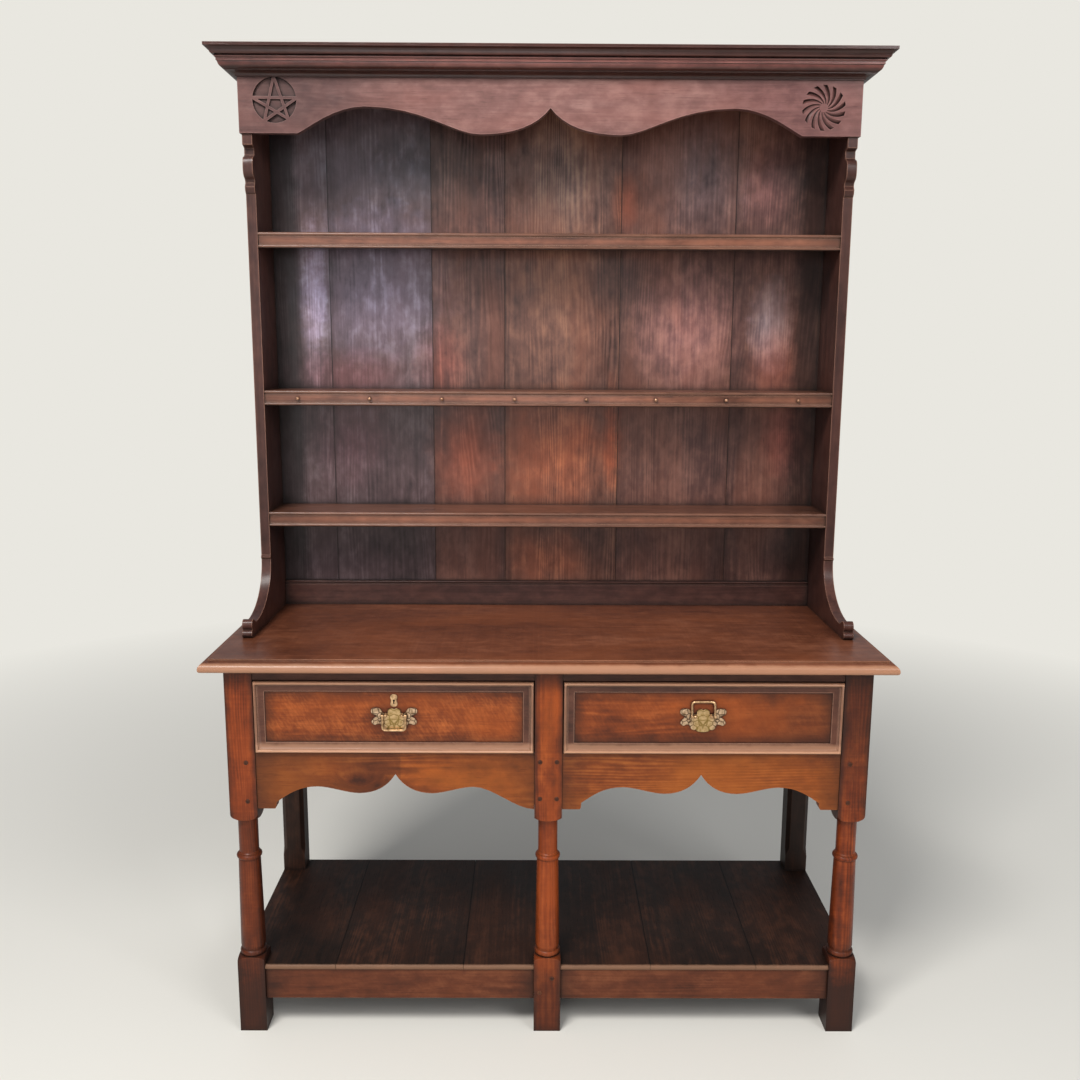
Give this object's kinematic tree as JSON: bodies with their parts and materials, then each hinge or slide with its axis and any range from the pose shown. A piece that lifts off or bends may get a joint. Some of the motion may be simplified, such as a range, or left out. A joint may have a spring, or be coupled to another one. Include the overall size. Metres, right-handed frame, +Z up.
{
  "type": "welsh dresser",
  "caption": "Oak dresser with turned posts, moulded drawers with batwing handles over a low potboard, and an open plate rack with carved frieze and cornice.",
  "frame": {"origin": "on the floor, under the middle of the dresser top", "axes": "+X to the right as seen from the front, +Y to the back, +Z up"},
  "size_m": [1.406, 0.506, 2.0303],
  "materials": {
    "post_oak": "waxed old oak, warm brown",
    "front_oak": "waxed old oak, red brown",
    "top_oak": "waxed oak, worn pale along its edge",
    "potboard_oak": "dry dark oak",
    "inner_oak": "bare oak",
    "rack_oak": "waxed dark oak",
    "frieze_oak": "polished brown oak",
    "brass": "aged lacquered brass"
  },
  "bodies": {
    "dresser": {"dresser_top": "top_oak", "front_post_left": "post_oak", "front_post_middle": "post_oak", "front_post_right": "post_oak", "apron_left": "post_oak", "apron_right": "post_oak", "top_rail_left": "front_oak", "top_rail_right": "front_oak", "side_panel_left": "front_oak", "side_panel_right": "front_oak", "rear_post_left": "potboard_oak", "rear_post_right": "potboard_oak", "back_panel": "potboard_oak", "pot_rail_front_left": "potboard_oak", "pot_rail_front_right": "potboard_oak", "pot_rail_left": "potboard_oak", "pot_rail_right": "potboard_oak", "pot_rail_back": "potboard_oak", "pot_board_1": "potboard_oak", "pot_board_2": "potboard_oak", "pot_board_3": "potboard_oak", "pot_board_4": "potboard_oak", "pot_board_5": "potboard_oak", "drawer_runner_middle": "inner_oak", "rack_side_left": "rack_oak", "rack_side_right": "rack_oak", "shelf_bottom": "rack_oak", "shelf_middle": "rack_oak", "shelf_top": "rack_oak", "back_board_1": "rack_oak", "back_board_2": "rack_oak", "back_board_3": "rack_oak", "back_board_4": "rack_oak", "back_board_5": "rack_oak", "back_board_6": "rack_oak", "rack_bottom_rail": "rack_oak", "rack_roof": "rack_oak", "frieze": "frieze_oak", "cornice": "frieze_oak"},
    "left_drawer": {"left_drawer_front": "front_oak", "left_drawer_moulding": "front_oak", "left_drawer_side_left": "inner_oak", "left_drawer_side_right": "inner_oak", "left_drawer_back": "inner_oak", "left_drawer_bottom": "inner_oak", "left_handle_plate": "brass", "left_handle_post_left": "brass", "left_handle_post_right": "brass", "left_escutcheon": "brass"},
    "left_bail": {"left_handle_bail": "brass"},
    "right_drawer": {"right_drawer_front": "front_oak", "right_drawer_moulding": "front_oak", "right_drawer_side_left": "inner_oak", "right_drawer_side_right": "inner_oak", "right_drawer_back": "inner_oak", "right_drawer_bottom": "inner_oak", "right_handle_plate": "brass", "right_handle_post_left": "brass", "right_handle_post_right": "brass"},
    "right_bail": {"right_handle_bail": "brass"}
  },
  "joints": [
    {"name": "left_drawer_slide", "type": "slide", "parent": "dresser", "child": "left_drawer", "axis": [0, -1, 0], "range_m": [0, 0.3]},
    {"name": "right_drawer_slide", "type": "slide", "parent": "dresser", "child": "right_drawer", "axis": [0, -1, 0], "range_m": [0, 0.3]},
    {"name": "left_bail_hinge", "type": "hinge", "parent": "left_drawer", "child": "left_bail", "pos_m": [-0.31, -0.2294, 0.701], "axis": [-1, 0, 0], "range_deg": [-7.4, 188.1]},
    {"name": "right_bail_hinge", "type": "hinge", "parent": "right_drawer", "child": "right_bail", "pos_m": [0.31, -0.2294, 0.701], "axis": [1, 0, 0], "range_deg": [0, 198.5]}
  ]
}
